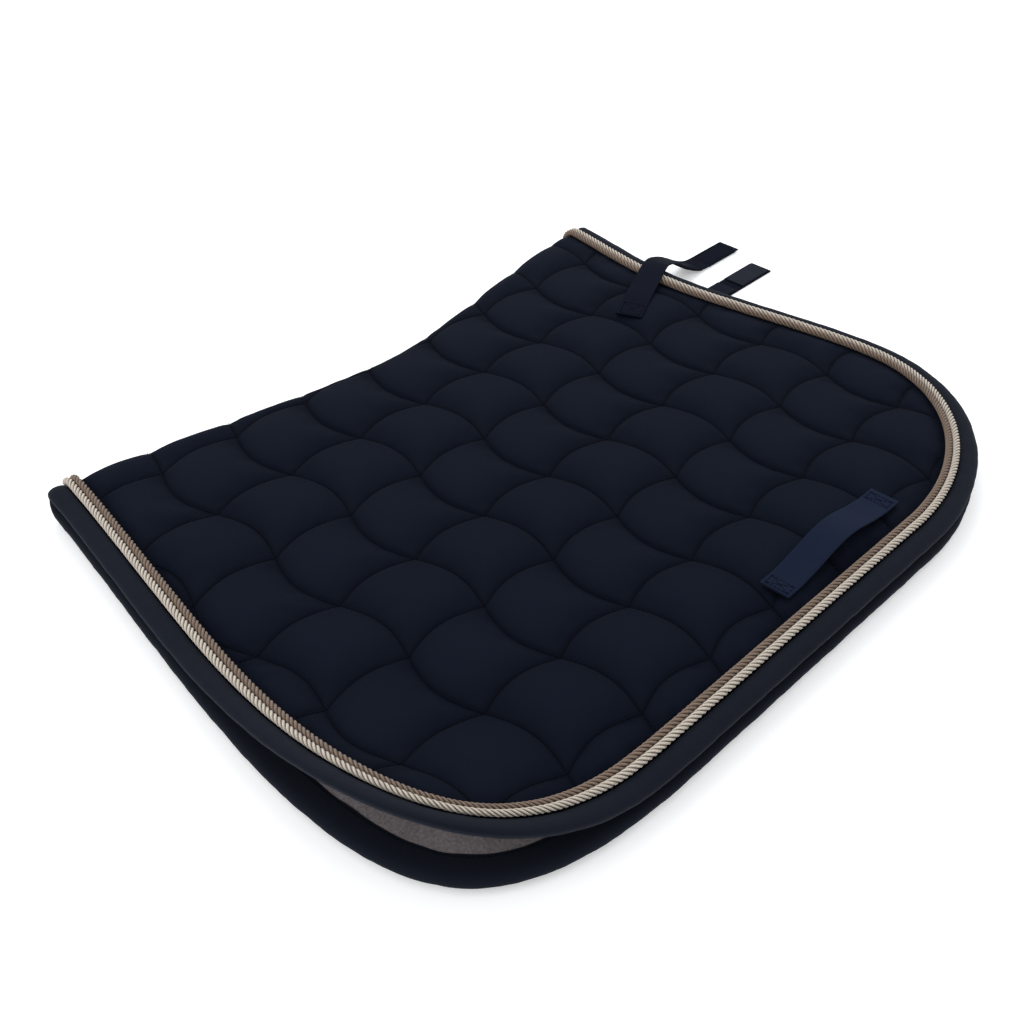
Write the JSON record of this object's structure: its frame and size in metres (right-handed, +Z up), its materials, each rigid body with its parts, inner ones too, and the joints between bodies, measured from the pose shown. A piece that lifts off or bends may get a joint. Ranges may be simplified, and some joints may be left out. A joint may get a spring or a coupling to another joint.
{
  "type": "saddle pad",
  "caption": "Contoured quilted saddle pad folded along its spine, with twisted rope piping, padded edge binding, fleece lining, webbing billet straps and girth loops.",
  "frame": {"origin": "middle of the base of the folded pad, on the surface it lies on", "axes": "+X towards the horse's head (the withers end, where the straps are), +Y towards the spine fold, +Z up, away from the surface that the left half lies on"},
  "size_m": [0.8188, 0.5402, 0.0669],
  "materials": {
    "quilted_cotton": "matt quilted navy cotton twill",
    "wadding_fibre": "lofty off-white polyester fibre",
    "fleece": "grey-brown brushed fleece",
    "binding_cotton": "smooth dark navy cotton over a padded roll",
    "beige_rope": "twisted beige cord with a slight sheen",
    "brown_rope": "twisted taupe brown cord with a slight sheen",
    "webbing": "ribbed navy webbing",
    "touch_tape": "dark navy hook and loop tape"
  },
  "bodies": {
    "left_half": {"left_outer_shell": "quilted_cotton", "left_wadding": "wadding_fibre", "left_lining": "fleece", "left_edge_binding": "binding_cotton", "left_beige_rope": "beige_rope", "left_brown_rope": "brown_rope", "left_crease_tape": "binding_cotton", "left_strap_anchor": "webbing", "left_girth_loop": "webbing"},
    "right_half": {"right_outer_shell": "quilted_cotton", "right_wadding": "wadding_fibre", "right_lining": "fleece", "right_edge_binding": "binding_cotton", "right_beige_rope": "beige_rope", "right_brown_rope": "brown_rope", "right_crease_tape": "binding_cotton", "right_strap_anchor": "webbing", "right_girth_loop": "webbing"},
    "right_strap_run": {"right_strap": "webbing", "right_loop_patch": "touch_tape"},
    "right_strap_end": {"right_strap_tip": "webbing", "right_hook_patch": "touch_tape"},
    "left_strap_run": {"left_strap": "webbing", "left_loop_patch": "touch_tape"},
    "left_strap_end": {"left_strap_tip": "webbing", "left_hook_patch": "touch_tape"}
  },
  "joints": [
    {"name": "spine_fold", "type": "hinge", "parent": "left_half", "child": "right_half", "pos_m": [0, 0.27141, 0.01815], "axis": [-1, 0, 0], "range_deg": [0, 120]},
    {"name": "right_strap_lift", "type": "hinge", "parent": "right_half", "child": "right_strap_run", "pos_m": [0.19061, 0.11114, 0.0383], "axis": [0.4067, -0.9135, 0], "range_deg": [0, 150]},
    {"name": "right_strap_fold", "type": "hinge", "parent": "right_strap_run", "child": "right_strap_end", "pos_m": [0.35221, 0.1523, 0.0032], "axis": [0, -1, 0], "range_deg": [0, 130]},
    {"name": "left_strap_lift", "type": "hinge", "parent": "left_half", "child": "left_strap_run", "pos_m": [0.28129, 0.10091, 0.0017], "axis": [0, -1, 0], "range_deg": [0, 85]},
    {"name": "left_strap_fold", "type": "hinge", "parent": "left_strap_run", "child": "left_strap_end", "pos_m": [0.33859, 0.10091, 0.00325], "axis": [0, -1, 0], "range_deg": [0, 178]}
  ]
}
